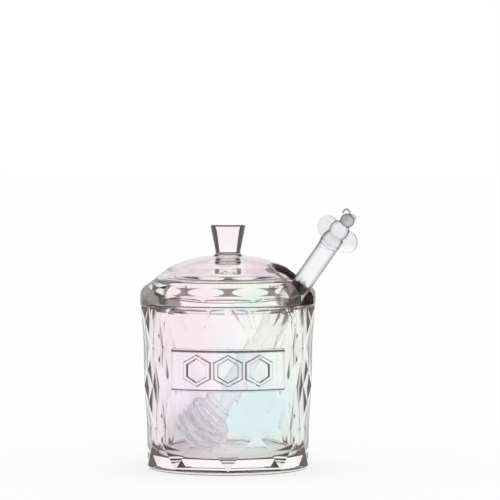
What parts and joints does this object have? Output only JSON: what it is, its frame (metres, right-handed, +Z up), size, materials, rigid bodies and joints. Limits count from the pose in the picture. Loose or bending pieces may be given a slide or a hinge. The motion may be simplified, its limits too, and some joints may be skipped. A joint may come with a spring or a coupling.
{
  "type": "honey pot",
  "caption": "Faceted glass honey pot with a raised plaque, a domed lid with a flared knob and a notch, and a ribbed glass dipper leaning in it.",
  "frame": {"origin": "centre of the jar's round foot, on the surface it stands on", "axes": "+Z up along the jar's axis, -Y towards the plaque at the front, +X to the right, where the dipper leans out"},
  "size_m": [0.1132, 0.093, 0.1372],
  "materials": {
    "lustre_glass": "gloss",
    "clear_glass": "gloss"
  },
  "bodies": {
    "root": {"jar": "lustre_glass", "lid": "lustre_glass", "dipper": "clear_glass"}
  },
  "joints": []
}
